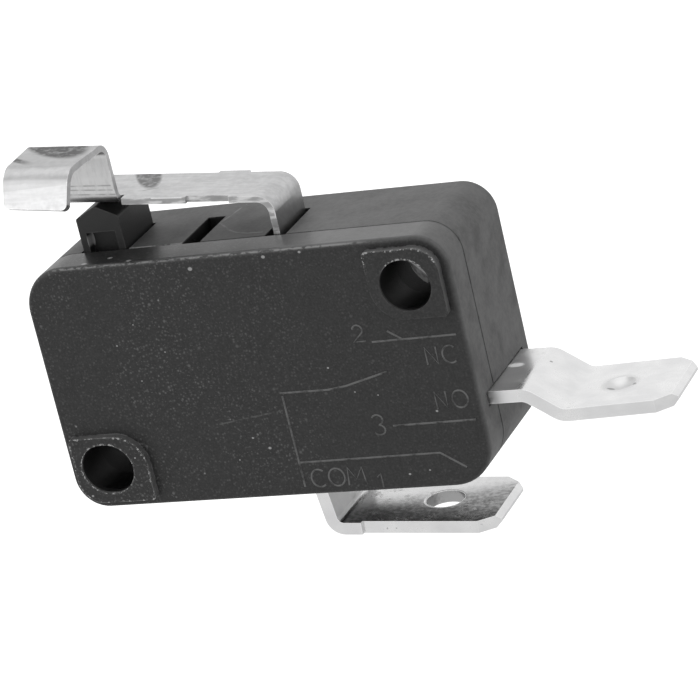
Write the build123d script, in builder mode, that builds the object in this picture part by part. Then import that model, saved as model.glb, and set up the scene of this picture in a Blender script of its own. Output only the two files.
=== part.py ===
# Snap-action micro switch with a hinged lever, in millimetres.
# The origin is the centre of the round mounting hole at half the thickness of the case.
# X runs along the case, Y into it from the front cover, Z up towards the lever.
import os
from math import cos, radians, sin, tan

from build123d import *

os.makedirs("parts", exist_ok=True)

# Case
case_length = 27.8
case_height = 15.9
case_thickness = 9.3
corner_radius = 2.0
plain_corner_radius = 2.75
edge_round = 0.3
cover_thickness = 2.5
seam_chamfer = 0.08
face_wall = 1.15
side_wall = 1.3
top_wall = 1.4

# Mounting holes and the raised pads round them
hole_radius = 1.6
hole_inset_x = 2.8
hole_inset_z = 2.8
slot_length = 3.5
pad_rise = 0.5
pad_inset = 0.55
pad_reach_x = 2.3
slot_pad_reach_x = 2.75
pad_reach_z = 2.1
pad_outer_radius = 1.5
pad_inner_radius = 2.0
pad_corner = 0.25
boss_wall = 1.1
cut_past = 1.0

# Openings in the top wall
top_slot_width = 1.4
top_slot_depth = 4.3
spare_slot_width = 1.2
spare_slot_share = 0.49
slide_gap = 0.05

# Plunger
plunger_from_slot = 2.03
plunger_length = 2.87
plunger_gap = 0.2
plunger_eaves = 2.15
plunger_ridge = 2.85
plunger_round = 0.35
plunger_eave_round = 0.18
guide_height = 2.5
flange_height = 0.9
flange_overhang = 0.8
flange_rest_gap = 0.1
nose_length = 1.4
nose_width = 2.8
front_recess_length = 1.95
front_recess_height = 1.2
front_recess_depth = 0.6

# Lever
strip_thickness = 0.4
lever_slope = 4.45
hinge_from_hole = 8.65
hinge_depth = 1.9
foot_outer_gap = 0.35
bend_radius = 0.75
bead_radius = 0.62
bead_eye_radius = 0.17
socket_gap = 0.06
strip_rise = 2.45
strip_past_plunger = 2.95
side_tab_start = 2.85
side_tab_length = 2.05
side_tab_width = 0.3
side_tab_corner = 0.12
notch_start = 2.6
notch_length = 2.8
notch_depth = 0.25

# Hook at the end of the lever
hook_length = 4.74
hook_height = 3.45
hook_side_gap = 0.2
hook_root = 1.5
hook_plate = 4.6
hook_front_drop = 2.03
hook_end_rise = 0.18
hook_lean = 30.0
hook_taper_left = 0.3
hook_taper_right = 0.35
hook_corner = 0.35
hook_relief = 0.15
fold_radius = 0.45
top_fold_radius = 0.6
front_fold_radius = 1.1

# Terminals
metal_thickness = 0.8
tab_width = 6.3
tab_corner_length = 1.2
tab_corner_width = 1.0
tab_bevel = 0.3
terminal_gap = 0.06
leg_from_hole = 9.3
leg_width = 6.8
leg_drop = 3.28
leg_bend = 0.4
leg_lean = 6.0
common_tab_length = 11.1
common_tab_slope = 3.3
common_shoulder = 2.5
common_hole_radius = 1.2
common_hole_from_tip = 4.25
arm_width = 4.2
arm_bend = 0.8
anchor_from_plunger = 2.23
anchor_height = 1.4
anchor_tongue = 0.85
anchor_tongue_width = 1.5
strut_post_from_anchor = 7.2
strut_post_height = 1.2
strut_post_width = 1.5
strut_notch = 0.2
end_tab_level = 4.9
end_tab_straight = 2.2
end_tab_step = 1.45
end_tab_step_length = 2.0
end_tab_slope = 1.8
end_tab_reach = 11.15
end_tab_bend = 1.1
dimple_radius = 0.95
dimple_depth = 0.3
dimple_bulge = 0.07
dimple_from_tip = 4.15
inner_strip_end = 4.8
inner_strip_width = 4.4
ear_length = 1.3

# Contacts and the blade
contact_x = 3.0
contact_radius = 1.25
contact_crown = 0.2
fixed_head = 1.0
moving_head_low = 0.85
moving_head_high = 0.5
rivet_shank_radius = 0.6
rivet_tail = 0.25
contact_gap = 0.65
blade_thickness = 0.2
blade_width = 3.4
blade_corner = 0.85
blade_heel_overhang = 1.3
rest_gap = 0.05
bow_root_from_contact = 5.0
bow_height = 1.0
bow_width = 1.5
window_side_gap = 0.12
stop_thickness = 0.8
stop_length = 5.8
stop_width = 4.4
stop_corner = 0.7
stop_block_length = 1.9

# Moulded supports inside the body and the pins of the cover
block_side = 1.5
block_below = 1.1
overlap = 0.1
leg_rib = 0.9
shelf_length = 2.2
arm_rest_from_anchor = 4.4
arm_rest_length = 2.2
cover_pin_radius = 0.5
cover_pin_length = 1.2
cover_pin_gap = 0.05
cover_pin_inset = 1.75
pin_block = 2.0

# Places worked out from the sizes above
case_right = hole_inset_x
case_left = case_right - case_length
case_top = hole_inset_z
case_bottom = case_top - case_height
case_mid = ((case_left + case_right) / 2, (case_top + case_bottom) / 2)
front_y = -case_thickness / 2
back_y = case_thickness / 2
seam_y = front_y + cover_thickness
cavity_front_y = front_y + face_wall
cavity_back_y = back_y - face_wall
slot_back_y = seam_y + top_slot_depth
slot_mid_y = (seam_y + slot_back_y) / 2
inner_right = case_right - side_wall
inner_bottom = case_bottom + top_wall
hole_pitch_x = case_length - 2 * hole_inset_x
hole_pitch_z = case_height - 2 * hole_inset_z
second_hole = (-hole_pitch_x, -hole_pitch_z)
moving_width = top_slot_depth - 2 * slide_gap

hinge_x = -hinge_from_hole
hinge_z = case_top - hinge_depth
foot_mid_x = hinge_x
lever_slot_right = foot_mid_x + strip_thickness / 2 + foot_outer_gap
lever_slot_mid = lever_slot_right - top_slot_width / 2
strip_z = case_top + strip_rise
plunger_x = plunger_from_slot - hole_pitch_x
spare_slot_mid = lever_slot_mid + spare_slot_share * (plunger_x - lever_slot_mid)
guide_bottom = case_top - guide_height
flange_top = guide_bottom - flange_rest_gap

end_tab_z = case_bottom + end_tab_level
strip_top_z = end_tab_z + metal_thickness / 2
fixed_contact_top = strip_top_z + fixed_head
blade_low_z = fixed_contact_top + contact_gap + moving_head_low
blade_top_z = blade_low_z + blade_thickness
stop_low_z = blade_top_z + moving_head_high + rest_gap
shoulder_z = blade_low_z - rest_gap
arm_top_z = shoulder_z - anchor_height
arm_low_z = arm_top_z - metal_thickness
nose_z = blade_top_z + rest_gap
contact_at = -contact_x
leg_outer_x = -leg_from_hole - metal_thickness / 2
leg_inner_x = leg_outer_x + metal_thickness
anchor_mid_x = plunger_x - anchor_from_plunger
anchor_left_x = anchor_mid_x - metal_thickness / 2
anchor_right_x = anchor_mid_x + metal_thickness / 2


def facing(y):
    """The plane at depth y, seen from the front: local X is X and local Y is Z."""
    return Plane.XZ.offset(-y)


def span(low_x, high_x, low_z, high_z):
    """A rectangle between two corners of the sketch that is open."""
    with Locations(((low_x + high_x) / 2, (low_z + high_z) / 2)):
        Rectangle(high_x - low_x, high_z - low_z)


def case_outline():
    """The case from the front; its corners beside the mounting holes are the sharper pair."""
    with BuildSketch(mode=Mode.PRIVATE) as outline:
        span(case_left, case_right, case_bottom, case_top)
        beside_holes = outline.vertices().sort_by(lambda v: v.X + v.Y)
        fillet([beside_holes[0], beside_holes[-1]], corner_radius)
        plain = outline.vertices().sort_by(lambda v: v.X - v.Y)
        fillet([plain[0], plain[-1]], plain_corner_radius)
    add(outline.sketch)


def pad_outline(at_second_hole):
    """A leaf-shaped pad: two large round corners on a diagonal, two small ones."""
    with BuildSketch(mode=Mode.PRIVATE) as pad:
        if at_second_hole:
            span(case_left + pad_inset, second_hole[0] + slot_pad_reach_x,
                 case_bottom + pad_inset, second_hole[1] + pad_reach_z)
        else:
            span(-pad_reach_x, case_right - pad_inset, -pad_reach_z, case_top - pad_inset)
        outer, inner = (0, -1) if at_second_hole else (-1, 0)
        fillet(pad.vertices().sort_by(lambda v: v.X + v.Y)[outer], pad_outer_radius)
        fillet(pad.vertices().sort_by(lambda v: v.X + v.Y)[inner], pad_inner_radius)
        for sharp in (0, -1):
            fillet(pad.vertices().sort_by(lambda v: v.X - v.Y)[sharp], pad_corner)
    add(pad.sketch)


def mounting_holes(extra=0.0):
    """The round hole at the origin and the slotted hole, each widened by extra."""
    Circle(hole_radius + extra)
    with Locations(second_hole):
        SlotOverall(slot_length + 2 * extra, 2 * (hole_radius + extra))


def cavity_outline():
    """The hollow of both halves, less what stands up to the seam in both."""
    with Locations(case_mid):
        RectangleRounded(case_length - 2 * side_wall, case_height - 2 * top_wall,
                         corner_radius - side_wall)
    with BuildSketch(mode=Mode.PRIVATE) as solid_parts:
        mounting_holes(boss_wall)
        span(case_left, plunger_x + plunger_length / 2 + block_side, guide_bottom, case_top)
        span(hinge_x - block_side, hinge_x + block_side, hinge_z - block_below, case_top)
        span(case_right - side_wall - pin_block, case_right, case_bottom,
             case_bottom + top_wall + pin_block)
    add(solid_parts.sketch, mode=Mode.SUBTRACT)


def rib_outlines():
    """Ribs and shelves of the body that hold the metal pieces."""
    leg_low = leg_outer_x - terminal_gap
    leg_high = leg_inner_x + terminal_gap
    span(leg_low - leg_rib, leg_low, inner_bottom, arm_low_z - arm_bend)
    span(leg_high, leg_high + leg_rib, inner_bottom, arm_top_z)
    arm_rest_x = anchor_mid_x + arm_rest_from_anchor
    span(arm_rest_x - arm_rest_length / 2, arm_rest_x + arm_rest_length / 2, inner_bottom,
         arm_low_z - terminal_gap)
    shelf_right = inner_right - ear_length
    span(shelf_right - shelf_length, shelf_right, inner_bottom,
         strip_top_z - metal_thickness - terminal_gap)
    block_left = inner_right - stop_block_length
    span(block_left, inner_right, strip_top_z + terminal_gap, stop_low_z - terminal_gap)
    span(block_left, inner_right, stop_low_z + stop_thickness + terminal_gap,
         stop_low_z + stop_thickness + stop_block_length)


def terminal_slots():
    """The two notches through the case wall where the terminals come out."""
    span(leg_outer_x - terminal_gap, leg_inner_x + terminal_gap, case_bottom - cut_past,
         inner_bottom + overlap)
    span(inner_right - overlap, case_right + cut_past, strip_top_z - metal_thickness - terminal_gap,
         strip_top_z + terminal_gap)


def top_openings():
    """The plunger's opening, the spare slot and the lever's slot."""
    half = plunger_length / 2 + plunger_gap
    span(plunger_x - half, plunger_x + half, guide_bottom - overlap, case_top + cut_past)
    for middle, width in ((spare_slot_mid, spare_slot_width), (lever_slot_mid, top_slot_width)):
        span(middle - width / 2, middle + width / 2, hinge_z, case_top + cut_past)
    with Locations((hinge_x, hinge_z)):
        Circle(bead_radius + socket_gap)


def cover_pins(extra=0.0):
    with Locations((case_left + cover_pin_inset, case_top - cover_pin_inset),
                   (case_right - cover_pin_inset, case_bottom + cover_pin_inset)):
        Circle(cover_pin_radius + extra)


# Back half of the case
with BuildPart() as case_body:
    with BuildSketch(facing(back_y)):
        case_outline()
    extrude(amount=back_y - seam_y)
    fillet(case_body.faces().sort_by(Axis.Y)[-1].edges(), edge_round)
    chamfer(case_body.faces().sort_by(Axis.Y)[0].edges(), seam_chamfer)
    with BuildSketch(facing(back_y + pad_rise)):
        pad_outline(True)
        pad_outline(False)
    extrude(amount=2 * pad_rise)
    with BuildSketch(facing(seam_y)):
        cavity_outline()
        with BuildSketch(mode=Mode.PRIVATE) as ribs:
            rib_outlines()
        add(ribs.sketch, mode=Mode.SUBTRACT)
    extrude(amount=seam_y - cavity_back_y, mode=Mode.SUBTRACT)
    with BuildSketch(facing(seam_y)):
        top_openings()
    extrude(amount=-top_slot_depth, mode=Mode.SUBTRACT)
    with BuildSketch(facing(seam_y)):
        terminal_slots()
    extrude(amount=seam_y - cavity_back_y, mode=Mode.SUBTRACT)
    with BuildSketch(facing(seam_y)):
        cover_pins(cover_pin_gap)
    extrude(amount=-(cover_pin_length + cover_pin_gap), mode=Mode.SUBTRACT)
    with BuildSketch(facing(back_y + 2 * pad_rise)):
        mounting_holes()
    extrude(amount=case_thickness, mode=Mode.SUBTRACT)

# Front half of the case
with BuildPart() as case_cover:
    with BuildSketch(facing(seam_y)):
        case_outline()
    extrude(amount=cover_thickness)
    fillet(case_cover.faces().sort_by(Axis.Y)[0].edges(), edge_round)
    chamfer(case_cover.faces().sort_by(Axis.Y)[-1].edges(), seam_chamfer)
    with BuildSketch(facing(front_y + pad_rise)):
        pad_outline(True)
        pad_outline(False)
    extrude(amount=2 * pad_rise)
    with BuildSketch(facing(seam_y)):
        cavity_outline()
        terminal_slots()
    extrude(amount=seam_y - cavity_front_y, mode=Mode.SUBTRACT)
    with BuildSketch(facing(seam_y)):
        cover_pins()
    extrude(amount=-cover_pin_length)
    with BuildSketch(facing(seam_y + cut_past)):
        mounting_holes()
    extrude(amount=case_thickness, mode=Mode.SUBTRACT)

# Plunger with its stop flange and the nose that presses the blade
with BuildPart() as plunger:
    with BuildSketch(facing(slot_mid_y)):
        with BuildLine():
            Polyline(
                (plunger_x - plunger_length / 2, flange_top),
                (plunger_x - plunger_length / 2, case_top + plunger_eaves),
                (plunger_x, case_top + plunger_ridge),
                (plunger_x + plunger_length / 2, case_top + plunger_eaves),
                (plunger_x + plunger_length / 2, flange_top),
                close=True,
            )
        make_face()
    extrude(amount=moving_width / 2, both=True)
    top_edges = plunger.edges().filter_by(Axis.Y).group_by(Axis.Z)
    fillet(top_edges[-1], plunger_round)
    fillet(plunger.edges().filter_by(Axis.Y).group_by(Axis.Z)[-2], plunger_eave_round)
    flange_length = plunger_length + 2 * flange_overhang
    with BuildSketch(Plane.XY.offset(flange_top)):
        with Locations((plunger_x, slot_mid_y)):
            Rectangle(flange_length, moving_width)
    extrude(amount=-flange_height)
    with BuildSketch(facing(slot_mid_y)):
        low = nose_z + nose_length / 2
        span(plunger_x - nose_length / 2, plunger_x + nose_length / 2, low,
             flange_top - flange_height / 2)
        with Locations((plunger_x, low)):
            Circle(nose_length / 2)
    extrude(amount=nose_width / 2, both=True)
    recess_back = slot_mid_y - moving_width / 2 + front_recess_depth
    with BuildSketch(facing(recess_back)):
        span(plunger_x - front_recess_length / 2, plunger_x + front_recess_length / 2,
             case_top - front_recess_depth, case_top + front_recess_height)
    extrude(amount=cut_past, mode=Mode.SUBTRACT)

# Lever: a strip bent down into a foot with a curled bead
slope = radians(lever_slope)
strip_mid_z = strip_z - strip_thickness / 2
lever_reach = foot_mid_x - plunger_x + strip_past_plunger
reach_x = foot_mid_x - lever_reach
reach_z = strip_mid_z + lever_reach * tan(slope)
with BuildPart() as lever:
    with BuildSketch(facing(slot_mid_y)):
        with BuildLine():
            FilletPolyline(
                (reach_x, reach_z),
                (foot_mid_x, strip_mid_z),
                (foot_mid_x, hinge_z),
                radius=bend_radius + strip_thickness / 2,
            )
        trace(line_width=strip_thickness)
        with Locations((hinge_x, hinge_z)):
            Circle(bead_radius)
            Circle(bead_eye_radius, mode=Mode.SUBTRACT)
    extrude(amount=moving_width / 2, both=True)

    # Side tab and shallow notch, drawn on the strip's top face with X towards its free end
    strip_top = Plane(
        origin=(foot_mid_x, slot_mid_y, strip_z),
        x_dir=(-cos(slope), 0, sin(slope)),
        z_dir=(sin(slope), 0, cos(slope)),
    )
    strip_edge = moving_width / 2
    with BuildSketch(strip_top):
        with Locations((side_tab_start + side_tab_length / 2, 0)):
            RectangleRounded(side_tab_length, 2 * (strip_edge + side_tab_width), side_tab_corner)
        with Locations((side_tab_start + side_tab_length / 2, strip_edge)):
            Rectangle(side_tab_length, moving_width, mode=Mode.SUBTRACT)
    extrude(amount=-strip_thickness)

    # Hook: a flap folded up from the near edge, over towards the front and down again
    strip_length = lever_reach / cos(slope)
    hook_start = strip_length - hook_length
    wall_y = -strip_edge - hook_side_gap + strip_thickness / 2
    corner_y = wall_y - hook_plate
    tip_y = corner_y - hook_front_drop * tan(radians(hook_lean))
    bend = fold_radius + strip_thickness / 2
    folded_width = strip_edge + wall_y + bend
    with BuildSketch(strip_top):
        with Locations((notch_start + notch_length / 2, strip_edge)):
            Rectangle(notch_length, 2 * notch_depth)
        with Locations((hook_start - hook_relief + strip_length / 2, strip_edge)):
            Rectangle(strip_length, 2 * folded_width)
    extrude(amount=strip_thickness, both=True, mode=Mode.SUBTRACT)
    hook_origin = strip_top.from_local_coords(Vector(hook_start, 0, 0))
    with BuildSketch(Plane(origin=hook_origin, x_dir=(0, 1, 0), z_dir=(-1, 0, 0))):
        with BuildLine():
            FilletPolyline(
                (wall_y + hook_root, strip_thickness / 2),
                (wall_y, strip_thickness / 2),
                (wall_y, -hook_height),
                (corner_y, -hook_height),
                (tip_y, hook_front_drop - hook_height),
                radius=(bend, top_fold_radius + strip_thickness / 2,
                        front_fold_radius + strip_thickness / 2),
            )
        trace(line_width=strip_thickness)
    extrude(amount=hook_length, dir=strip_top.x_dir)
    right_x = hook_origin.X
    left_x = right_x - hook_length * cos(slope)
    with BuildSketch(Plane.XY.offset(case_top)):
        tapers = ((right_x, right_x - hook_taper_right), (left_x, left_x + hook_taper_left))
        for edge, beside in tapers:
            Polygon((edge, wall_y - bend), (beside, tip_y - strip_thickness),
                    (edge, tip_y - strip_thickness), align=None)
    extrude(amount=case_height, mode=Mode.SUBTRACT)

    # The free end of the hook is cut a little askew, then its two corners are rounded
    up_the_leg = Vector(0, corner_y - tip_y, hook_front_drop).normalized()
    tip = hook_origin + Vector(0, tip_y, hook_height - hook_front_drop)
    along = strip_top.x_dir
    with BuildSketch(Plane(origin=tip, x_dir=along, z_dir=along.cross(up_the_leg))):
        Polygon((-cut_past, 0), (0, 0), (hook_length, hook_end_rise), (hook_length, -cut_past),
                (-cut_past, -cut_past), align=None)
    extrude(amount=2 * strip_thickness, both=True, mode=Mode.SUBTRACT)
    free_end = lever.faces().sort_by(Axis.Y)[0]
    fillet(free_end.edges().sort_by(SortBy.LENGTH)[:2], hook_corner)


def tab_outline(start, length):
    """A flat tab along X, from start to length, with its two end corners cut off."""
    half = tab_width / 2
    side = [(start, half), (length - tab_corner_length, half), (length, half - tab_corner_width)]
    Polygon(*side, *[(x, -y) for x, y in reversed(side)], align=None)


def sloping_plane(x, z, angle):
    """A plane through (x, z) at mid-thickness, with its X going right and up by angle."""
    turn = radians(angle)
    return Plane(origin=(x, 0, z), x_dir=(cos(turn), 0, sin(turn)), z_dir=(-sin(turn), 0, cos(turn)))


# Common terminal: outer tab, shoulder and leg, then the arm inside with its two posts
leg_mid_x = (leg_outer_x + leg_inner_x) / 2
leg_corner_x = leg_mid_x + leg_drop * tan(radians(leg_lean))
tab_corner_z = case_bottom - leg_drop + metal_thickness / 2
tab_drop = tan(radians(common_tab_slope))
shoulder_x = leg_outer_x + common_shoulder
with BuildPart() as common_terminal:
    with BuildSketch(facing(0)):
        with BuildLine():
            FilletPolyline(
                (shoulder_x, tab_corner_z - (shoulder_x - leg_corner_x) * tab_drop),
                (leg_corner_x, tab_corner_z),
                (leg_mid_x, case_bottom),
                (leg_mid_x, inner_bottom + metal_thickness),
                radius=leg_bend + metal_thickness / 2,
            )
        trace(line_width=metal_thickness)
    extrude(amount=leg_width / 2, both=True)
    tab_plane = sloping_plane(leg_corner_x, tab_corner_z, -common_tab_slope).offset(metal_thickness / 2)
    tab_length = (leg_outer_x + common_tab_length - leg_corner_x) / cos(radians(common_tab_slope))
    tab_start = (shoulder_x - metal_thickness / 2 - leg_corner_x) / cos(radians(common_tab_slope))
    with BuildSketch(tab_plane):
        tab_outline(tab_start, tab_length)
        with Locations((tab_length - common_hole_from_tip, 0)):
            Circle(common_hole_radius, mode=Mode.SUBTRACT)
    extrude(amount=-metal_thickness)
    tip_face = common_terminal.faces().sort_by(Axis.X)[-1]
    chamfer(tip_face.edges().filter_by(Axis.Y), tab_bevel)
    arm_mid_z = (arm_top_z + arm_low_z) / 2
    with BuildSketch(facing(0)):
        with BuildLine():
            FilletPolyline(
                (leg_mid_x, inner_bottom),
                (leg_mid_x, arm_mid_z),
                (anchor_mid_x, arm_mid_z),
                (anchor_mid_x, shoulder_z),
                radius=arm_bend,
            )
        trace(line_width=metal_thickness)
    extrude(amount=arm_width / 2, both=True)
    with BuildSketch(facing(0)):
        span(anchor_left_x, anchor_right_x, shoulder_z - metal_thickness / 2, shoulder_z + anchor_tongue)
    extrude(amount=anchor_tongue_width / 2, both=True)
    post_right = anchor_mid_x + strut_post_from_anchor
    post_left = post_right - metal_thickness
    with BuildSketch(facing(0)):
        with BuildLine():
            Polyline(
                (post_left, arm_low_z),
                (post_left, arm_top_z + strut_post_height),
                (post_right, arm_top_z + strut_post_height),
                (post_right, arm_top_z + strut_post_height - strut_notch),
                (post_right - strut_notch, arm_top_z + strut_post_height - 2 * strut_notch),
                (post_right, arm_top_z + strut_post_height - 3 * strut_notch),
                (post_right, arm_low_z),
                close=True,
            )
        make_face()
    extrude(amount=strut_post_width / 2, both=True)
    with BuildSketch(Plane.XY.offset(arm_low_z)):
        with Locations((post_right + strut_post_height / 2, 0)):
            Rectangle(strut_post_height, strut_post_width)
    extrude(amount=metal_thickness, mode=Mode.SUBTRACT)

# End terminal: stepped tab outside, ears and the contact strip inside
step_start = case_right + end_tab_straight
step_end = step_start + end_tab_step_length
low_z = end_tab_z - end_tab_step
end_tab_length = (case_right + end_tab_reach - step_end) / cos(radians(end_tab_slope))
end_tab_rise = tan(radians(end_tab_slope))
with BuildPart() as no_terminal:
    with BuildSketch(facing(0)):
        with BuildLine():
            FilletPolyline(
                (inner_right - ear_length, end_tab_z),
                (step_start, end_tab_z),
                (step_end, low_z),
                (step_end + end_tab_length / 2, low_z + end_tab_length / 2 * end_tab_rise),
                radius=end_tab_bend,
            )
        trace(line_width=metal_thickness)
    extrude(amount=tab_width / 2, both=True)
    end_plane = sloping_plane(step_end, low_z, end_tab_slope).offset(metal_thickness / 2)
    with BuildSketch(end_plane):
        tab_outline(end_tab_length / 2 - overlap, end_tab_length)
    extrude(amount=-metal_thickness)
    tip_face = no_terminal.faces().sort_by(Axis.X)[-1]
    chamfer(tip_face.edges().filter_by(Axis.Y), tab_bevel)
    dimple_x = end_tab_length - dimple_from_tip
    for level, change in ((0, Mode.SUBTRACT), (-metal_thickness, Mode.ADD)):
        centre = end_plane.from_local_coords(Vector(dimple_x, 0, level))
        with BuildSketch(Plane(centre, x_dir=end_plane.x_dir, z_dir=(0, -1, 0))):
            with BuildLine():
                Line((0, 0), (dimple_radius, 0))
                SagittaArc((dimple_radius, 0), (0, -dimple_depth), dimple_bulge)
                Line((0, -dimple_depth), (0, 0))
            make_face()
        revolve(axis=Axis(centre, end_plane.z_dir), mode=change)
    with BuildSketch(Plane.XY.offset(strip_top_z)):
        with Locations((inner_right - rest_gap - ear_length / 2, 0)):
            Rectangle(ear_length, leg_width)
        inner_end = -inner_strip_end
        with Locations(((inner_end + inner_right - ear_length) / 2, 0)):
            Rectangle(inner_right - ear_length - inner_end, inner_strip_width)
        with Locations((contact_at, 0)):
            Circle(rivet_shank_radius, mode=Mode.SUBTRACT)
    extrude(amount=-metal_thickness)


# Spring blade with the window for its bowed tongue, and the hole for the moving contact
blade_left = anchor_left_x - blade_heel_overhang / 2
blade_right = contact_at + contact_radius
window_left = post_right - 2 * strut_notch - rest_gap
bow_root = contact_at - bow_root_from_contact
bow_end = post_right - rest_gap / 2
bow_end_z = arm_top_z + strut_post_height - 2 * strut_notch
blade_mid_z = blade_low_z + blade_thickness / 2
tongue_hole = anchor_tongue_width / 2 + 2 * rest_gap
window_width = bow_width + 2 * window_side_gap
with BuildPart() as contact_blade:
    with BuildSketch(Plane.XY.offset(blade_low_z)):
        with Locations(((blade_left + blade_right) / 2, 0)):
            Rectangle(blade_right - blade_left, blade_width)
        with Locations((anchor_mid_x, 0)):
            Rectangle(metal_thickness + 4 * rest_gap, 2 * tongue_hole, mode=Mode.SUBTRACT)
        with Locations(((window_left + bow_root) / 2, 0)):
            Rectangle(bow_root - window_left, window_width, mode=Mode.SUBTRACT)
        with Locations((contact_at, 0)):
            Circle(rivet_shank_radius, mode=Mode.SUBTRACT)
    extrude(amount=blade_thickness)
    fillet(contact_blade.edges().filter_by(Axis.Z).group_by(Axis.X)[-1], blade_corner)
    with BuildSketch(facing(0)):
        with BuildLine():
            ThreePointArc(
                (bow_root + blade_thickness, blade_mid_z),
                ((bow_root + bow_end) / 2, blade_mid_z + bow_height),
                (bow_end, bow_end_z),
            )
        trace(line_width=blade_thickness)
    extrude(amount=bow_width / 2, both=True)

# Contact rivets: the fixed one on the end terminal, and the moving one with two equal heads
tail_low = strip_top_z - metal_thickness - rivet_tail
rivets = {}
for name, low, seat_low, seat_high, high, low_radius in (
    ("no_contact", tail_low, tail_low + rivet_tail, strip_top_z, fixed_contact_top,
     rivet_shank_radius + rivet_tail),
    ("moving_contact", blade_low_z - moving_head_low, blade_low_z, blade_top_z,
     blade_top_z + moving_head_high, contact_radius),
):
    with BuildPart() as rivet:
        with BuildSketch(facing(0)):
            with BuildLine():
                Polyline(
                    (contact_at, low),
                    (contact_at + low_radius - contact_crown, low),
                    (contact_at + low_radius, low + contact_crown / 2),
                    (contact_at + low_radius, seat_low),
                    (contact_at + rivet_shank_radius, seat_low),
                    (contact_at + rivet_shank_radius, seat_high),
                    (contact_at + contact_radius, seat_high),
                    (contact_at + contact_radius, high - contact_crown / 2),
                    (contact_at + contact_radius - contact_crown, high),
                    (contact_at, high),
                    close=True,
                )
            make_face()
        revolve(axis=Axis((contact_at, 0, 0), (0, 0, 1)))
    rivets[name] = rivet.part

# Plate that the moving contact rests against while the lever is free
with BuildPart() as rest_stop:
    with BuildSketch(Plane.XY.offset(stop_low_z)):
        with Locations((inner_right - rest_gap - stop_length / 2, 0)):
            RectangleRounded(stop_length, stop_width, stop_corner)
    extrude(amount=stop_thickness)

pieces = {
    "case_body": case_body.part,
    "case_cover": case_cover.part,
    "plunger": plunger.part,
    "lever": lever.part,
    "common_terminal": common_terminal.part,
    "no_terminal": no_terminal.part,
    "contact_blade": contact_blade.part,
    "rest_stop": rest_stop.part,
    **rivets,
}
for name, part in pieces.items():
    part.label = name
    export_step(part, f"parts/{name}.step")
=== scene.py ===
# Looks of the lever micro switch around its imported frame. Row frame, metres.
import math

import bmesh
import bpy
from mathutils import Matrix, Vector


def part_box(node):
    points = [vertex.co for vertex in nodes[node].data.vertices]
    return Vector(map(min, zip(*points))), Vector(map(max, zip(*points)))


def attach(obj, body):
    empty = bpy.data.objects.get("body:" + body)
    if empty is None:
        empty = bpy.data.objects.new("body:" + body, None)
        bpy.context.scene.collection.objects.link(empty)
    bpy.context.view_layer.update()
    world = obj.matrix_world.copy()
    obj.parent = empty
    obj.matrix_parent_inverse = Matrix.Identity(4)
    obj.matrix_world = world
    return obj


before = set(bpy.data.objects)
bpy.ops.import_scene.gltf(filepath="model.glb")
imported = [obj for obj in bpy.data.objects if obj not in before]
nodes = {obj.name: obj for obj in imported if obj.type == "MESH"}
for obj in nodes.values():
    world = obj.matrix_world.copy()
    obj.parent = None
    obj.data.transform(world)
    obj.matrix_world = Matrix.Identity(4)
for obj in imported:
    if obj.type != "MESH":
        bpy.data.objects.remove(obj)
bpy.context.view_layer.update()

MM = 0.001

# Places on the switch, in mm of the row's frame
CASE_TOP = 2.8
END_FACE = 2.8
COVER_FACE = -4.65
PAD_FACE = -5.15
SEAM = -2.15
ROUND_HOLE = (0.0, 0.0)
ROUND_HOLE_RADIUS = 1.6
SLOTTED_HOLE = (-22.2, -10.3)
TAB_HOLE = (-2.86, 0.0)
TAB_HOLE_RADIUS = 1.27
TAB_DIMPLE = (9.8, 0.0)
PAD_HEIGHT = 0.5
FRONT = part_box("case_cover")[0][1] + PAD_HEIGHT * MM

# Camera: place, lens and sensor in mm, and its nearest and farthest view in m
CAMERA_PLACE = (77.2, -179.15, 65.1)
CAMERA_RIGHT = (0.9139, 0.3417, -0.2191)
CAMERA_FORWARD = (-0.3996, 0.8525, -0.3371)
CAMERA_LENS = 179.0
CAMERA_SENSOR = 36
CAMERA_NEAR = 0.01
CAMERA_FAR = 5
# Strength of the world as a light, and as the camera and the shiny metal see it
WORLD_LIGHT = 0.7
SEEN_LIGHT = 1.0
LAMPS_POINT_AT = (-0.01, 0, 0)
# Soft lamps: direction from the switch, distance and size in m, power in W
OVERHEAD = ((-0.25, 0.3, 0.92), 0.7, (0.6, 0.5), 0.5)
FRONT_LEFT = ((-0.4, -0.72, 0.57), 0.75, (0.55, 0.55), 1.0)
# Floor: size and height in m, its glow, and how much more of it the camera sees
FLOOR_SIZE = 3
FLOOR_HEIGHT = -0.06
FLOOR_GLOW = 0.12
FLOOR_GLOW_SEEN = 0.48


def make_camera():
    """The camera of the photo: its place in mm, its right and its forward direction."""
    forward = Vector(CAMERA_FORWARD).normalized()
    right = Vector(CAMERA_RIGHT).normalized()
    up = right.cross(forward).normalized()
    right = forward.cross(up)
    data = bpy.data.cameras.new("camera")
    data.lens = CAMERA_LENS
    data.sensor_width = CAMERA_SENSOR
    data.clip_start = CAMERA_NEAR
    data.clip_end = CAMERA_FAR
    camera = bpy.data.objects.new("camera", data)
    bpy.context.scene.collection.objects.link(camera)
    turn = Matrix((right, up, -forward)).transposed().to_4x4()
    camera.matrix_world = Matrix.Translation(Vector(CAMERA_PLACE) * MM) @ turn
    bpy.context.scene.camera = camera


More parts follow.
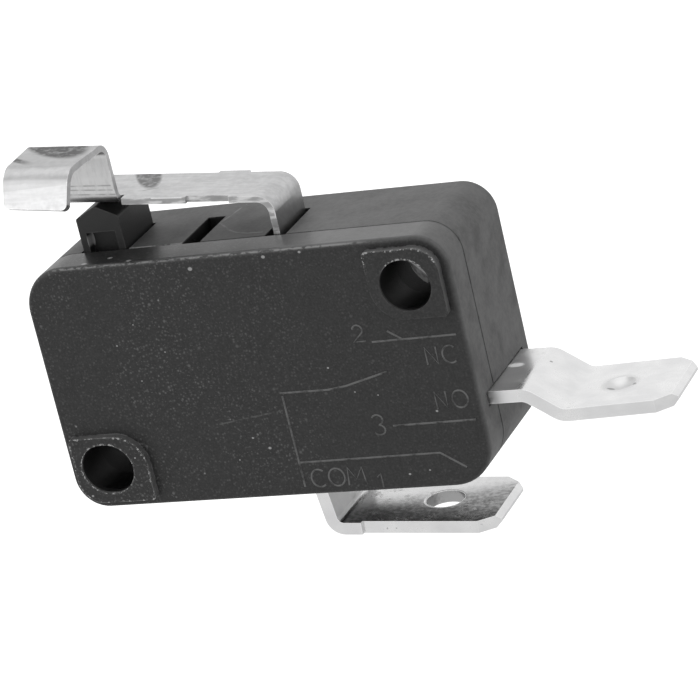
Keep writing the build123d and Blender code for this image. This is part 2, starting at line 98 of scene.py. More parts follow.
class Socket:
    """A value of a material. Operators on it add the Math nodes they stand for."""

    def __init__(self, tree, output):
        self.tree = tree
        self.output = output

    def math(self, operation, *values, clamp=False):
        node = add_node(self.tree, "ShaderNodeMath", {"operation": operation, "use_clamp": clamp},
                        dict(enumerate(values)))
        return Socket(self.tree, node.outputs[0])

    def __add__(self, other):
        return self.math("ADD", self, other)

    def __sub__(self, other):
        return self.math("SUBTRACT", self, other)

    def __rsub__(self, other):
        return self.math("SUBTRACT", other, self)

    def __mul__(self, other):
        return self.math("MULTIPLY", self, other)

    def __truediv__(self, other):
        return self.math("DIVIDE", self, other)

    def __pow__(self, other):
        return self.math("POWER", self, other)

    def __gt__(self, other):
        return self.math("GREATER_THAN", self, other)

    def __lt__(self, other):
        return self.math("LESS_THAN", self, other)

    def __abs__(self):
        return self.math("ABSOLUTE", self)

    __radd__ = __add__
    __rmul__ = __mul__

    def clamped(self):
        return self.math("ADD", self, 0.0, clamp=True)

    def smooth(self, low, high):
        """0 below low and 1 above high, with a soft step between; low may be the larger."""
        step = ((self - low) / (high - low)).clamped()
        return step * step * (3.0 - 2.0 * step)


def plug(tree, value, place):
    """Links a socket, or sets a plain value."""
    if isinstance(value, Socket):
        tree.links.new(value.output, place)
    else:
        place.default_value = value


def add_node(tree, kind, settings=None, inputs=None):
    """A new node: its settings come first, then the values or links of its sockets."""
    node = tree.nodes.new(kind)
    for words, value in (settings or {}).items():
        setattr(node, words, value)
    for words, value in (inputs or {}).items():
        plug(tree, value, node.inputs[words])
    return node


# The colour sockets of a Mix node, by place
MIX_LOW = 6
MIX_HIGH = 7
MIX_RESULT = 2
# Rays that find the edges of a face
BEVEL_SAMPLES = 8


class Finish:
    """One material of the switch: its nodes, and the shader that they feed."""

    def __init__(self, name, roughness=0.5, metallic=0.0):
        self.material = bpy.data.materials.new(name)
        self.material.use_nodes = True
        self.tree = self.material.node_tree
        self.shader = self.tree.nodes["Principled BSDF"]
        self.feed("Roughness", roughness)
        self.feed("Metallic", metallic)
        where = self.node("ShaderNodeTexCoord", out="Object")
        self.place = self.node("ShaderNodeVectorMath", {"operation": "SCALE"},
                               {0: where, "Scale": 1 / MM})
        self.x, self.y, self.z = (self.part(self.place, axis) for axis in "XYZ")
        self.normal = None

    def node(self, kind, settings=None, inputs=None, out=0):
        return Socket(self.tree, add_node(self.tree, kind, settings, inputs).outputs[out])

    def part(self, vector, axis):
        """The X, Y or Z of a vector."""
        return self.node("ShaderNodeSeparateXYZ", inputs={0: vector}, out=axis)

    def feed(self, words, value):
        """Gives a value or a socket to the shader."""
        plug(self.tree, value, self.shader.inputs[words])

    def noise(self, size, detail=2.0, roughness=0.5, stretch=None, shift=None):
        """Noise whose lumps are about size mm across; stretch makes them longer along an axis."""
        place = self.place
        if stretch or shift:
            place = self.node("ShaderNodeMapping", {"vector_type": "TEXTURE"},
                              {"Vector": place, "Scale": stretch or (1, 1, 1),
                               "Location": shift or (0, 0, 0)})
        lumps = {"Vector": place, "Scale": 1 / size, "Detail": detail, "Roughness": roughness}
        return self.node("ShaderNodeTexNoise", inputs=lumps, out="Fac")

    def dots(self, spacing, radius, share):
        """1 on round dots about spacing mm apart, at a share of their places, and 0 between them."""
        cell = add_node(self.tree, "ShaderNodeTexVoronoi",
                        inputs={"Vector": self.place, "Scale": 1 / spacing})
        chosen = self.part(Socket(self.tree, cell.outputs["Color"]), "X")
        near = Socket(self.tree, cell.outputs["Distance"]) * spacing
        return near.smooth(radius, 0.3 * radius) * (chosen < share)

    def mix(self, factor, low, high):
        """A colour from low to high; each is a socket, a grey level or three numbers."""
        low, high = (colour if isinstance(colour, Socket) else grey(colour) for colour in (low, high))
        return self.node("ShaderNodeMix", {"data_type": "RGBA"},
                         {"Factor": factor, MIX_LOW: low, MIX_HIGH: high}, out=MIX_RESULT)

    def bump(self, height, depth):
        """Relief of height, 0 to 1, that is depth mm deep."""
        inputs = {"Height": height, "Distance": depth * MM, "Strength": 1.0}
        if self.normal:
            inputs["Normal"] = self.normal
        self.normal = self.node("ShaderNodeBump", None, inputs)
        self.feed("Normal", self.normal)

    def edges(self, radius):
        """1 on edges within radius mm, 0 on flat faces."""
        rounded = self.node("ShaderNodeBevel", {"samples": BEVEL_SAMPLES}, {"Radius": radius * MM})
        flat = self.node("ShaderNodeNewGeometry", out="Normal")
        same = self.node("ShaderNodeVectorMath", {"operation": "DOT_PRODUCT"},
                         {0: rounded, 1: flat}, out="Value")
        return (1.0 - same).smooth(0.01, 0.12)

    def facing(self, axis):
        """How much a surface faces along an axis: 1 fully, 0 across, -1 away."""
        return self.part(self.node("ShaderNodeNewGeometry", out="Normal"), axis)

    def between(self, axis, low, high):
        """1 between two places on an axis, in mm, and 0 beyond them."""
        along = getattr(self, axis)
        return (along > low) * (along < high)

    def spots(self, marks):
        """1 on small flat marks of the front, each a place across X and Z and a radius in mm."""
        return most(*[self.oval((x, z), (size, size * 0.8), across="xz", soft=0.5)
                      for x, z, size in marks])

    def broken(self, size, low, high, detail=3, **kind):
        """A mask that leaves gaps in a line: noise of a size, cut between two levels."""
        return self.noise(size, detail=detail, **kind).smooth(low, high)

    def oval(self, middle, reach, lean=0.0, across="xy", soft=0.3):
        """1 inside an oval drawn on the face across two axes, in mm, and 0 outside it."""
        first, second = (getattr(self, axis) for axis in across)
        down = second - middle[1]
        u = (first - middle[0] + lean * down) / reach[0]
        v = down / reach[1]
        return (u * u + v * v).smooth(1 + soft, 1 - soft)

    def streak(self, start, end, width, across="xy"):
        """1 along the line between two points in mm, soft at its sides, on the face across two axes."""
        first, second = (getattr(self, axis) for axis in across)
        run = (end[0] - start[0], end[1] - start[1])
        u = first - start[0]
        v = second - start[1]
        along = ((u * run[0] + v * run[1]) / (run[0] ** 2 + run[1] ** 2)).clamped()
        u = u - along * run[0]
        v = v - along * run[1]
        return (u * u + v * v).smooth((width / 2) ** 2, 0.0)

    def ring(self, middle, radius, width):
        """1 on a thin circle drawn across X and Y, in mm."""
        u = self.x - middle[0]
        v = self.y - middle[1]
        return abs((u * u + v * v) ** 0.5 - radius).smooth(width / 2, 0.0)


def most(*masks):
    """The strongest of some masks at each place."""
    top = masks[0]
    for mask in masks[1:]:
        top = top.math("MAXIMUM", top, mask)
    return top


def grey(level):
    """The colour of a grey level, or of three numbers."""
    return (level, level, level, 1.0) if isinstance(level, (int, float)) else (*level, 1.0)


# Flecks of dust on the cover and its pads, in mm: place on the face, and radius; then on its top
FRONT_FLECKS = (
    (-13.55, 2.04, 0.14), (-6.32, 2.48, 0.09), (-8.68, 2.38, 0.12), (-0.03, -8.17, 0.08),
    (-2.66, -12.1, 0.08), (-1.33, -11.92, 0.06), (-6.27, -4.93, 0.07), (-3.5, -6.89, 0.05),
    (-4.92, -6.59, 0.05), (-11.28, -9.82, 0.1), (-12.23, -9.09, 0.07), (-13.45, -10.47, 0.05),
    (-18.6, -4.86, 0.05), (-19.65, -2.46, 0.06), (-18.22, -1.19, 0.05), (-16.57, -3.1, 0.05),
)
PAD_FLECKS = (
    (-21.28, -8.28, 0.08), (-20.95, -8.34, 0.07), (-21.67, -8.69, 0.08), (-22.28, -8.65, 0.06),
    (-20.15, -9.67, 0.06), (-19.69, -9.5, 0.05), (-19.48, -10.76, 0.06), (-19.33, -11.48, 0.08),
    (-23.7, -12.03, 0.08), (-22.73, -12.56, 0.08), (-21.01, -12.6, 0.06), (-19.36, -12.63, 0.09),
    (-2.13, 2.18, 0.08), (1.3, 2.06, 0.06), (1.82, 1.89, 0.08),
)
TOP_FLECKS = ((-20.66, -4.18), (-19.19, -3.54), (-17.6, -4.3))
TOP_FLECK_REACH = (0.17, 0.14)
# Two fine scratches on the body's top, beside the narrow slot: a bent one, and one across it
SCRATCH = ((-14.30, 1.99), (-13.47, 0.71), (-12.60, -0.40), (-11.72, -1.10),
           (-10.95, -1.36), (-9.93, -1.43))
SCRATCH_ACROSS = ((-13.27, 3.35), (-13.69, 0.76))
SCRATCH_WIDE = 0.2
# Start, end and width of two lines along the seam on the top, a painted highlight and a painted shade
# in its gap, and of a rub mark on the front
SEAM_HIGHLIGHT = ((-18.6, -2.08), (-14.7, -2.08), 0.2)
SEAM_DARK = ((-14.2, -2.1), (-6.5, -2.1), 0.14)
RUB_LINE = ((-14.2, -8.05), (-9.9, -7.45), 0.14)
# Greys of the case: its plastic, the painted shade of its holes, the painted sheen and highlights, and
# what lies on it or has worn it
PLASTIC_DARK = 0.003
PLASTIC_LIGHT = 0.018
HOLE_SHADE_BLACK = 0.002
SMEAR_GREY = 0.04
DUST_GREY = 0.1
PAINTED_SHEEN_GREY = 0.112
WORN_GREY = 0.12
SPECK_GREY = 0.2
SCRATCH_GREY = 0.22
FLECK_GREY = 0.3
PAINTED_HIGHLIGHT_GREY = 0.35
PAD_RIM_GREY = 0.42


def painted_shade_places(finish):
    """1 inside the two mounting holes and the slots in the top, where shade is painted in near black.
    """
    slotted = finish.oval(SLOTTED_HOLE, (2.0, 1.85), across="xz", soft=0.02)
    reach = ROUND_HOLE_RADIUS + 0.15
    through = finish.oval(ROUND_HOLE, (reach, reach), across="xz", soft=0.02)
    holes = most(slotted, through) * (finish.y > -4.95)
    slots = finish.between("x", -17.0, -4.0) * finish.between("y", -2.1, 4.5)
    slots = slots * finish.between("z", -6.0, CASE_TOP - 0.08)
    return most(holes, slots)


def dust(finish, to_left):
    """Fine and coarse specks of dust on the moulded faces, more of them towards the left."""
    cloud = finish.noise(6.0, detail=2, shift=(4, 1, 2))
    dusty = (0.3 + 0.6 * to_left) * (0.45 + 0.55 * cloud.smooth(0.35, 0.6))
    fine = finish.dots(0.23, 0.1, 0.6) * (0.2 + 0.8 * finish.broken(0.5, 0.3, 0.7, detail=2))
    fine = most(fine, 0.6 * finish.broken(0.16, 0.60, 0.70, detail=1, roughness=0.6))
    coarse = finish.dots(0.85, 0.14, 0.3)
    return most(fine, coarse) * dusty


def case_finish(name="moulded_case", crest=0.0):
    """Black moulded plastic, dusty, worn to grey on its edges, with a painted sheen on top and end. A
    crest paints highlights on raised lines.
    """
    finish = Finish(name)
    to_left = finish.x.smooth(0.0, -16.0)
    front = finish.y < COVER_FACE + 0.15
    pads = finish.y < PAD_FACE + 0.15
    upward = finish.facing("Z").clamped()
    endward = finish.facing("X").clamped()
    cover_top = upward * finish.between("y", COVER_FACE + 0.05, SEAM - 0.05)
    # Painted shade inside the holes and slots, left out where crest is set
    inside = painted_shade_places(finish) * (1.0 - crest)

    # Bare plastic, and a painted sheen that makes the top and end paler, less of it on the cover's top
    mottle = finish.noise(0.45, detail=5, roughness=0.65)
    sand = finish.broken(0.15, 0.38, 0.66)
    colour = finish.mix(0.4 * mottle.smooth(0.3, 0.7) + 0.6 * sand, PLASTIC_DARK, PLASTIC_LIGHT)
    top_and_end_facing = (upward * upward + 1.1 * endward * endward + 1.2 * upward * endward).clamped()
    painted_top_sheen = top_and_end_facing * (0.5 + 0.35 * finish.broken(2.4, 0.3, 0.7)
                         + 0.2 * finish.broken(0.3, 0.3, 0.7, detail=5, roughness=0.6))
    painted_top_sheen = painted_top_sheen * (1.0 - cover_top * (0.25 + 0.6 * finish.x.smooth(-6.0, -12.0)))
    # Painted sheen: paler colour on faces that look up or to the end, standing in for light on them
    colour = finish.mix(painted_top_sheen, colour, PAINTED_SHEEN_GREY)
    # Painted highlight on raised lines and on the flash, where crest is set
    colour = finish.mix(crest * finish.broken(0.45, 0.25, 0.6), colour, PAINTED_SHEEN_GREY)
    smear = finish.broken(1.6, 0.45, 0.75, detail=4) * endward * (finish.x > END_FACE - 0.9)
    colour = finish.mix(0.5 * smear, colour, SMEAR_GREY)

    # Scratches and dust
    pieces = list(zip(SCRATCH, SCRATCH[1:])) + [SCRATCH_ACROSS]
    scratch = most(*[finish.streak(start, end, SCRATCH_WIDE) for start, end in pieces]) * upward
    scratch = scratch * finish.broken(0.6, 0.3, 0.5)
    rub_line = finish.streak(*RUB_LINE, across="xz") * front * finish.broken(0.4, 0.35, 0.6)
    colour = finish.mix(0.75 * scratch + 0.25 * rub_line, colour, SCRATCH_GREY)
    colour = finish.mix(dust(finish, to_left), colour, DUST_GREY)
    bright = finish.dots(1.5, 0.1, 0.35) * to_left * (finish.y > -5.0)
    colour = finish.mix(bright, colour, SPECK_GREY)

    # Worn edges
    handled = most(finish.x.smooth(-14.0, -16.0), finish.z.smooth(0.8, 1.4))
    worn = finish.edges(0.16) * finish.broken(0.4, 0.38, 0.56, detail=4) * (0.2 + 0.8 * handled)
    colour = finish.mix(worn, colour, WORN_GREY)
    pad_rim = finish.edges(0.3) * pads * finish.broken(0.13, 0.56, 0.64, detail=1) * handled
    colour = finish.mix(pad_rim, colour, PAD_RIM_GREY)
    front_edge = (finish.z - CASE_TOP).smooth(-0.2, -0.06) * finish.x.smooth(-1.0, -4.0)
    front_edge = front_edge * (finish.y - COVER_FACE).smooth(0.18, 0.04)
    front_edge = front_edge * finish.broken(0.2, 0.40, 0.56, detail=5, stretch=(1.6, 1, 1))
    colour = finish.mix(front_edge, colour, FLECK_GREY)

    # Painted highlights on the seam and on the flash in the round hole, the larger flecks, and painted
    # shade in the seam's gap and the holes
    # Painted highlight along the seam on the top
    seam_highlight = finish.streak(*SEAM_HIGHLIGHT) * upward * finish.broken(0.5, 0.3, 0.5)
    # Painted highlight along the ridge of the flash
    flash_ridge_highlight = crest * (finish.y + 5.0).smooth(0.02, -0.04)
    colour = finish.mix(most(0.8 * seam_highlight, 0.5 * flash_ridge_highlight), colour, PAINTED_HIGHLIGHT_GREY)
    top_flecks = [finish.oval(middle, TOP_FLECK_REACH, soft=0.5) for middle in TOP_FLECKS]
    flecks = most(finish.spots(FRONT_FLECKS) * front, finish.spots(PAD_FLECKS) * pads,
                  most(*top_flecks) * upward)
    colour = finish.mix(flecks, colour, FLECK_GREY)
    # Painted shade in the gap of the seam on the top
    seam_dark = finish.streak(*SEAM_DARK) * upward
    off_seam = finish.y - SEAM - 0.03
    end_seam = off_seam.smooth(0.12, 0.0) * off_seam.smooth(-0.12, 0.0) * endward
    end_seam = end_seam * finish.broken(0.8, 0.48, 0.6) * (finish.x > END_FACE - 0.2)
    # Painted shade in the holes, slots and seam's gap, with the dark end seam
    dark = most(inside, 0.85 * seam_dark, 0.8 * end_seam)
    finish.feed("Base Color", finish.mix(dark, colour, HOLE_SHADE_BLACK))

    matt = 0.48 + 0.16 * finish.noise(2.2, detail=3)
    finish.feed("Roughness", matt - 0.24 * cover_top + 0.1 * smear)
    grain = finish.noise(0.13, detail=3) * (1.0 - 0.6 * cover_top)
    finish.bump(grain, 0.011)
    finish.bump(finish.noise(1.6, detail=2), 0.006)
    return finish.material


# A pale upright painted highlight in the recess of the plunger, in mm: middle and reach
PLUNGER_HIGHLIGHT = ((-21.08, 3.45), (0.1, 0.42))


def plunger_finish():
    """Smoother black plastic than the case, rubbed a little on its edges."""
    finish = Finish("black_plunger")
    colour = finish.mix(finish.noise(1.0, detail=3), 0.005, 0.010)
    worn = finish.edges(0.18) * finish.broken(0.4, 0.35, 0.6)
    colour = finish.mix(0.9 * worn, colour, 0.045)
    # Painted highlight on the wall of the plunger's recess
    recess_highlight = finish.oval(*PLUNGER_HIGHLIGHT, across="xz", soft=0.5) * (finish.y < -1.2)
    finish.feed("Base Color", finish.mix(recess_highlight, colour, 0.3))
    finish.feed("Roughness", 0.42 + 0.14 * finish.noise(1.4, detail=3))
    finish.bump(finish.noise(0.1, detail=3), 0.006)
    return finish.material


# Marks on the lever, in mm. Painted dark reflections: middle, reach and lean. Lines that join them:
# start, end and width
PLATE_REFLECTION = ((-21.3, -2.5), (2.0, 2.3), 0.62)
STRIP_REFLECTION = ((-18.1, 1.9), (0.85, 2.3), 0.45)
PLATE_MARK = ((-23.9, -4.5), (-21.4, -5.8), 0.7)
STRIP_LINE = ((-17.3, -0.8), (-16.5, -0.4), 0.16)
# Lines on faces that look to the front, across X and Z: painted highlights on cut edges, then painted
# shade along the folds of the hook's wall
CUT_HIGHLIGHTS = (
    ((-16.2, 5.86), (-14.3, 5.72), 0.22),
    ((-10.6, 5.45), (-9.1, 5.33), 0.2),
    ((-8.4, 4.75), (-8.4, 3.9), 0.3),
)
FOLD_SHADE_LINES = (
    ((-21.48, 7.16), (-18.61, 6.95), 0.13),
    ((-21.62, 6.92), (-18.56, 6.65), 0.13),
    ((-21.70, 6.63), (-18.37, 6.35), 0.13),
)
# Where the hook ends and the strip begins, and the height above which the hook is flat
HOOK_END = -18.2
PLATE_LOW = 8.9
STEEL_DARK = (0.46, 0.46, 0.465)
STEEL_LIGHT = (0.56, 0.56, 0.565)
REFLECTION_GREY = 0.075


def lever_finish():
    """Rolled steel strip, grey, with painted dark reflections, painted highlights and shade on its cut
    edge and folds, and other marks of its bending.
    """
    finish = Finish("lever_steel", metallic=1.0)
    rolled = finish.noise(0.22, detail=4, stretch=(9, 1, 1))
    patches = finish.noise(1.6, detail=5, roughness=0.6)
    blotch = finish.noise(0.45, detail=4, roughness=0.6)
    on_plate = finish.z > PLATE_LOW
    on_strip = (finish.z < 6.6) * (finish.x > HOOK_END - 1.2)

    # Painted dark reflections on the plate and the strip
    plate_reflection = finish.oval(*PLATE_REFLECTION, soft=0.3) * on_plate
    plate_mark = finish.streak(*PLATE_MARK) * on_plate * finish.x.smooth(-21.2, -22.8)
    strip_reflection = finish.oval(*STRIP_REFLECTION, soft=0.3) * on_strip
    strip_line = finish.streak(*STRIP_LINE) * on_strip
    dark_reflection = most(0.97 * plate_reflection, 0.95 * plate_mark, 0.85 * strip_reflection, 0.5 * strip_line)
    dark_reflection = dark_reflection * (0.5 + 0.9 * blotch.smooth(0.3, 0.7)).clamped()

    # The hook's wall with painted shade at its folds and foot, and the sheared front edge of the strip
    # with painted highlights and shade
    frontward = (0.0 - finish.facing("Y")).smooth(0.8, 0.95)
    wall = frontward * (finish.y > -2.5) * (finish.x < HOOK_END)
    edge_face = frontward * (finish.x > HOOK_END) * (finish.y > -2.6)
    cut_highlight_streaks = edge_face * finish.broken(0.4, 0.5, 0.62, stretch=(5, 1, 1))
    cut_shade_streaks = edge_face * finish.broken(0.5, 0.5, 0.7, stretch=(4, 1, 1), shift=(3, 0, 1))
    cut_highlight = most(*[finish.streak(*line, across="xz") for line in CUT_HIGHLIGHTS]) * edge_face
    fold_shade = most(*[finish.streak(*line, across="xz") for line in FOLD_SHADE_LINES])
    fold_shade = fold_shade * wall * (0.3 + 0.7 * finish.broken(0.5, 0.35, 0.6))
    drawn_up = finish.broken(0.13, 0.4, 0.7, stretch=(1, 1, 6)) * wall
    wall_foot_shade = finish.z.smooth(6.35, 5.95) * wall
    hook_leg = (finish.y < -7.0) * (finish.x < HOOK_END + 0.2)
    leg_band = most(finish.z.smooth(8.0, 8.6), finish.z.smooth(4.9, 4.4)) * hook_leg
    foot_shade = finish.z.smooth(5.2, 3.4) * (finish.x > -8.7)

    colour = finish.mix(patches.smooth(0.3, 0.7), STEEL_DARK, STEEL_LIGHT)
    colour = finish.mix(0.3 * rolled.smooth(0.35, 0.65), colour, 0.34)
    colour = finish.mix(0.2 * blotch.smooth(0.4, 0.65), colour, 0.75)
    colour = finish.mix(0.3 * on_plate, colour, 0.3)
    # Painted light: the hook's wall is painted paler
    colour = finish.mix(0.6 * wall, colour, 0.72)
    # Painted shade: the cut edge face is painted darker
    colour = finish.mix(0.55 * edge_face, colour, 0.26)
    # Painted shade along the folds and in streaks on the cut edge, with the wall's drawn streaks
    colour = finish.mix(most(0.6 * fold_shade, 0.12 * drawn_up, 0.35 * cut_shade_streaks), colour, 0.2)
    # Painted highlights along the cut edges
    colour = finish.mix(most(0.5 * cut_highlight_streaks, cut_highlight), colour, 0.95)
    # Painted shade at the foot of the hook's wall
    colour = finish.mix(0.6 * wall_foot_shade, colour, 0.12)
    colour = finish.mix(0.2 * leg_band * blotch.smooth(0.3, 0.6), colour, 0.3)
    colour = finish.mix(0.5 * foot_shade * (1.0 - edge_face), colour, 0.16)
    # Painted dark reflections on the plate and the strip
    colour = finish.mix(dark_reflection, colour, REFLECTION_GREY)
    worn = finish.edges(0.09) * finish.broken(0.8, 0.4, 0.6)
    finish.feed("Base Color", finish.mix(0.5 * worn, colour, 0.9))
    finish.feed("Roughness", 0.26 + 0.16 * patches + 0.1 * dark_reflection - 0.12 * worn)
    finish.bump(rolled, 0.003)
    finish.bump(blotch, 0.007)
    return finish.material


# Marks on the plated tabs, in mm across the tab: place and radius
TAB_PITS = ((-8.5, 1.93, 0.14), (9.3, -0.4, 0.22), (10.75, -0.3, 0.14), (5.33, 1.24, 0.09))
# Faint strokes beside the hole of the common tab: start, end and width
TAB_STROKES = (
    ((-2.75, -0.86), (-2.6, -1.1), 0.3),
    ((-2.5, -0.9), (-1.9, -1.0), 0.16),
    ((-0.55, -1.35), (-0.4, -1.5), 0.25),
)
# Middle and reach of a pale spot by the common tab's leg, and of a glint on the end tab
TAB_PALE_SPOT = ((-8.5, 1.93), (0.5, 0.5))
TAB_GLINT = ((3.30, 0.68), (0.5, 0.3))
TIN_DARK = (0.74, 0.74, 0.745)
TIN_LIGHT = (0.84, 0.84, 0.84)


def tab_finish():
    """Bright tin plate with painted highlights on its edges, painted dark reflection and shade, small
    pits and rubbed places.
    """
    finish = Finish("plated_tab", metallic=1.0)
    cloud = finish.noise(1.8, detail=4)
    drawn = finish.noise(0.5, detail=3, stretch=(6, 1, 1))
    fine = finish.noise(0.24, detail=3)
    scuffed = cloud.smooth(0.52, 0.66) * fine.smooth(0.42, 0.6)
    common = finish.z < -12.0
    end_tab = 1.0 - common

    # The common tab: a painted dark reflection on its upper face that clears towards its tip, and
    # painted shade and highlight on the rim of its hole
    flat = finish.facing("Z").smooth(0.7, 0.95) * common * (finish.x > -9.6)
    tab_dark_reflection = flat * (0.22 + 0.78 * (finish.y - 0.35 * finish.x).smooth(2.9, 0.4))
    tab_dark_reflection = tab_dark_reflection * (0.7 + 0.3 * finish.broken(0.3, 0.35, 0.65, detail=4))
    leg_side = finish.facing("X").smooth(0.6, 0.9) * common
    reach = TAB_HOLE_RADIUS + 0.05
    hole_wall_shade = finish.oval(TAB_HOLE, (reach, reach), soft=0.02) * common * (1.0 - flat)
    rim = finish.ring(TAB_HOLE, TAB_HOLE_RADIUS, 0.2) * flat
    across_rim = finish.y + 0.3 * finish.x
    rim_shade = rim * across_rim.smooth(-0.6, 0.2)
    rim_highlight = rim * across_rim.smooth(-0.8, -1.6)
    strokes = [finish.streak(*line) for line in TAB_STROKES]
    strokes = most(*strokes, finish.oval(*TAB_PALE_SPOT)) * flat

    # The end tab: the dimple, and a glint where the plate leaves the case
    dimple = finish.oval(TAB_DIMPLE, (1.15, 1.15), soft=0.4)
    by_case = finish.x.smooth(5.6, 3.2) * end_tab
    glint = finish.oval(*TAB_GLINT, soft=0.7) * end_tab

    pits = most(*[finish.oval((x, y), (size, size), soft=0.5) for x, y, size in TAB_PITS])
    pits = most(pits, finish.broken(0.3, 0.72, 0.78, detail=1) * cloud.smooth(0.5, 0.6) * common)
    edge_highlight = finish.edges(0.1)
    colour = finish.mix(cloud.smooth(0.3, 0.7), TIN_DARK, TIN_LIGHT)
    colour = finish.mix(0.3 * drawn, colour, 0.62)
    # Painted dark reflection on the common tab's upper face
    colour = finish.mix(tab_dark_reflection, colour, 0.17)
    # Painted shade on the wall of the common tab's hole
    colour = finish.mix(0.75 * hole_wall_shade, colour, 0.25)
    colour = finish.mix(0.7 * dimple, colour, 0.6)
    colour = finish.mix(glint, colour, 1.0)
    # Pale strokes, and a painted highlight on the lower rim of the hole
    colour = finish.mix(most(0.5 * strokes, rim_highlight), colour, 0.85)
    # Pits, and painted shade on the upper rim of the hole
    colour = finish.mix(most(0.6 * pits, 0.85 * rim_shade), colour, 0.1)
    # Painted highlights along the edges of the tabs
    finish.feed("Base Color", finish.mix(0.9 * edge_highlight, colour, 0.97))
    rough = 0.15 + 0.08 * cloud + 0.2 * scuffed + 0.1 * edge_highlight + 0.4 * leg_side
    finish.feed("Roughness", rough + 0.2 * dimple + 0.2 * by_case + 0.3 * glint)
    finish.bump(drawn, 0.0015)
    finish.bump(fine, 0.003)
    return finish.material


def plain_metal(name, low, high, roughness):
    """A finish for the spring and the contacts, which are inside the case."""
    finish = Finish(name, metallic=1.0)
    finish.feed("Base Color", finish.mix(finish.noise(1.0, detail=3), low, high))
    finish.feed("Roughness", roughness + 0.1 * finish.noise(0.8, detail=3))
    finish.bump(finish.noise(0.3, detail=3, stretch=(5, 1, 1)), 0.002)
    return finish.material


def paint(material, *names):
    """Gives CAD nodes a finish, in every slot that they have."""
    for name in names:
        mesh = nodes[name].data
        if not mesh.materials:
            mesh.materials.append(material)
        for place in range(len(mesh.materials)):
            mesh.materials[place] = material


def ride_case(piece):
    """Adds a piece that is moulded on the case."""
    bpy.context.scene.collection.objects.link(piece)
    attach(piece, "case")


# Ribs of the diagram and of the letters, in mm: how deep their middle lies, and their radii
RIB_SUNK = 0.03
LINE_RADIUS = 0.08
LETTER_RADIUS = 0.07


def raised_lines(name, strokes, radius, material):
    """Round ribs along strokes, lists of (x, z) in mm on the front face, partly sunk into it."""
    curve = bpy.data.curves.new(name, "CURVE")
    curve.dimensions = "3D"
    curve.bevel_depth = radius * MM
    curve.bevel_resolution = 2
    curve.use_fill_caps = True
    for stroke in strokes:
        spline = curve.splines.new("POLY")
        spline.points.add(len(stroke) - 1)
        for point, (x, z) in zip(spline.points, stroke):
            point.co = (x * MM, FRONT + RIB_SUNK * MM, z * MM, 1)
    curve.materials.append(material)
    ride_case(bpy.data.objects.new(name, curve))


def arc(middle, wide, high, start, end, steps=16):
    """Points on an ellipse about middle, from angle start to end in degrees."""
    points = []
    for step in range(steps + 1):
        turn = math.radians(start + (end - start) * step / steps)
        points.append((middle[0] + wide * math.cos(turn), middle[1] + high * math.sin(turn)))
    return points


# Plain letters and digits one unit high: width, and strokes
LETTERS = {
    "N": (0.62, [[(0, 0), (0, 1), (0.62, 0), (0.62, 1)]]),
    "M": (1.0, [[(0, 0), (0.1, 1), (0.5, 0.3), (0.9, 1), (1.0, 0)]]),
    "C": (0.84, [arc((0.44, 0.5), 0.44, 0.5, 50, 310)]),
    "O": (0.9, [arc((0.45, 0.5), 0.45, 0.5, 0, 360, 24)]),
    "1": (0.3, [[(0, 0.75), (0.28, 1), (0.28, 0)]]),
    "2": (0.8, [arc((0.4, 0.7), 0.3, 0.3, 165, -35, 10) + [(0.05, 0), (0.8, 0)]]),
    "3": (0.6, [arc((0.28, 0.75), 0.27, 0.25, 150, -80, 10)
                + arc((0.28, 0.25), 0.3, 0.25, 80, -150, 10)]),
}


def lettering(word, corner, height, space):
    """Strokes of a word of plain letters with its lower left at corner, in mm; space is in heights."""
    strokes = []
    x = corner[0]
    for letter in word:
        width, shape = LETTERS[letter]
        strokes += [[(x + u * height, corner[1] + v * height) for u, v in stroke]
                    for stroke in shape]
        x += (width + space) * height
    return strokes


# The circuit diagram on the cover, in mm of the row's frame, and its words: corner, height, space
DIAGRAM = (
    ((-3.09, -3.51), (2.24, -3.44)),
    ((-1.99, -2.89), (-1.15, -3.47)),
    ((-9.74, -6.32), (-6.6, -6.32), (-5.4, -6.16), (-2.59, -5.45)),
    ((-9.64, -6.5), (-9.6, -12.5)),
    ((-9.53, -10.9), (-0.44, -10.84), (1.04, -11.87)),
    ((-3.0, -8.92), (2.28, -8.87)),
)
WORDS = (
    ("2", (-4.28, -3.43), 1.05, 0.3),
    ("NC", (0.08, -5.2), 1.1, 0.32),
    ("NO", (0.05, -8.05), 1.1, 0.32),
    ("3", (-4.3, -9.45), 1.3, 0.3),
    ("COM", (-9.05, -12.57), 1.15, 0.15),
    ("1", (-4.78, -12.85), 0.9, 0.3),
)


def diagram(material):
    """The raised lines, words and digits on the cover."""
    raised_lines("circuit_lines", DIAGRAM, LINE_RADIUS, material)
    for word, *place in WORDS:
        raised_lines(f"mark_{word.lower()}", lettering(word, *place), LETTER_RADIUS, material)


# The flash in the round hole, in mm: its ridge near the pad's face, its deep side, and the wall
FLASH_RIDGE = ((0.57, 1.53), (0.77, 1.29), (1.02, 1.02), (1.32, 0.71), (1.50, 0.51), (1.62, 0.25))
FLASH_DEEP = ((0.28, 1.10), (0.39, 0.66), (0.62, 0.26), (0.91, -0.08), (1.13, -0.22), (1.34, -0.15))
FLASH_WALL = arc(ROUND_HOLE, 1.63, 1.63, 73, 5, len(FLASH_RIDGE) - 1)
# Its four long lines, each with its place along Y
FLASH_LINES = ((FLASH_RIDGE, -5.05), (FLASH_DEEP, -4.4), (FLASH_WALL, -4.2), (FLASH_WALL, -5.08))


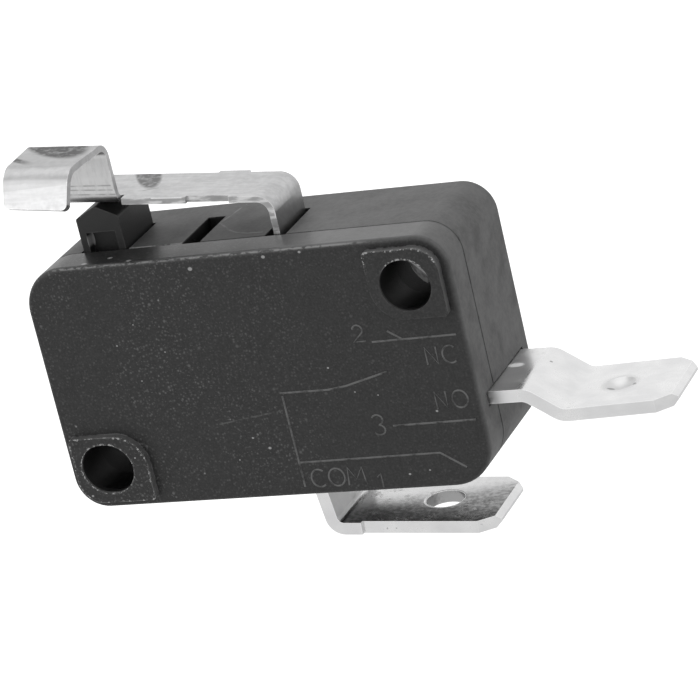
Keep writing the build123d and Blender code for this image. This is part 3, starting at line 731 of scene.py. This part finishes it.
def hole_flash(material):
    """A tongue of moulding flash in the upper right of the round mounting hole, sloping inwards."""
    mesh = bmesh.new()
    rows = [[mesh.verts.new((x * MM, y * MM, z * MM)) for x, z in line]
            for line, y in FLASH_LINES]
    rows.append(rows[0])
    for near, far in zip(rows, rows[1:]):
        for place in range(len(near) - 1):
            mesh.faces.new((near[place], near[place + 1], far[place + 1], far[place]))
    for place in (0, -1):
        mesh.faces.new([row[place] for row in rows[:-1]])
    bmesh.ops.recalc_face_normals(mesh, faces=mesh.faces)
    data = bpy.data.meshes.new("hole_flash")
    mesh.to_mesh(data)
    mesh.free()
    data.materials.append(material)
    ride_case(bpy.data.objects.new("hole_flash", data))


def area(name, direction, distance, size, power):
    """A soft square lamp that shines at the switch from a direction, distance m away."""
    data = bpy.data.lights.new(name, "AREA")
    data.shape = "RECTANGLE"
    data.size, data.size_y = size
    data.energy = power
    lamp = bpy.data.objects.new(name, data)
    bpy.context.scene.collection.objects.link(lamp)
    toward = Vector(direction).normalized()
    lamp.location = Vector(LAMPS_POINT_AT) + toward * distance
    lamp.rotation_euler = toward.to_track_quat("Z", "Y").to_euler()


def seen_rays(tree):
    """1 for camera, glossy and transmission rays, which see a white ground, and 0 for the light."""
    path = add_node(tree, "ShaderNodeLightPath")
    return most(*[Socket(tree, path.outputs[f"Is {kind} Ray"])
                  for kind in ("Camera", "Glossy", "Transmission")])


def make_floor():
    """A plain pale floor, which shows white to the camera and keeps the switch's shadow."""
    bpy.ops.mesh.primitive_plane_add(size=FLOOR_SIZE, location=(0, 0, FLOOR_HEIGHT))
    floor = bpy.context.object
    floor.name = "floor"
    finish = Finish("floor_paper", roughness=0.9)
    fibres = finish.noise(0.8, detail=3)
    finish.feed("Base Color", finish.mix(fibres, 0.78, 0.82))
    camera_ray = finish.node("ShaderNodeLightPath", out="Is Camera Ray")
    paper = Socket(finish.tree, finish.shader.outputs[0])
    strength = FLOOR_GLOW + FLOOR_GLOW_SEEN * camera_ray
    glow = finish.node("ShaderNodeEmission", inputs={"Color": grey(1.0), "Strength": strength})
    bright = finish.node("ShaderNodeAddShader", inputs={0: paper, 1: glow})
    shown = finish.node("ShaderNodeMixShader",
                        inputs={0: seen_rays(finish.tree), 1: paper, 2: bright})
    plug(finish.tree, shown, finish.tree.nodes["Material Output"].inputs["Surface"])
    floor.data.materials.append(finish.material)


def studio():
    """Soft white light from all round and from two lamps, over a pale floor."""
    scene = bpy.context.scene
    scene.view_settings.view_transform = "Standard"
    world = bpy.data.worlds.new("studio")
    scene.world = world
    world.use_nodes = True
    tree = world.node_tree
    light = tree.nodes["Background"]
    plug(tree, grey(1.0), light.inputs["Color"])
    strength = WORLD_LIGHT + (SEEN_LIGHT - WORLD_LIGHT) * seen_rays(tree)
    plug(tree, strength, light.inputs["Strength"])
    area("overhead", *OVERHEAD)
    area("front_left", *FRONT_LEFT)
    make_floor()


make_camera()
studio()

moulded_case = case_finish()
plated_tab = tab_finish()
paint(moulded_case, "case_body", "case_cover")
paint(plunger_finish(), "plunger")
paint(lever_finish(), "lever")
paint(plated_tab, "common_terminal", "no_terminal", "rest_stop")
spring_bronze = plain_metal("spring_bronze", (0.55, 0.34, 0.18), (0.68, 0.45, 0.26), 0.28)
paint(spring_bronze, "contact_blade")
paint(plain_metal("contact_silver", 0.7, 0.85, 0.3), "moving_contact", "no_contact")
# A paler copy of the case's finish, painted as if lit, for the diagram's ribs and the flash
painted_lit_ribs = case_finish("painted_lit_ribs", crest=1.0)
diagram(painted_lit_ribs)
hole_flash(painted_lit_ribs)
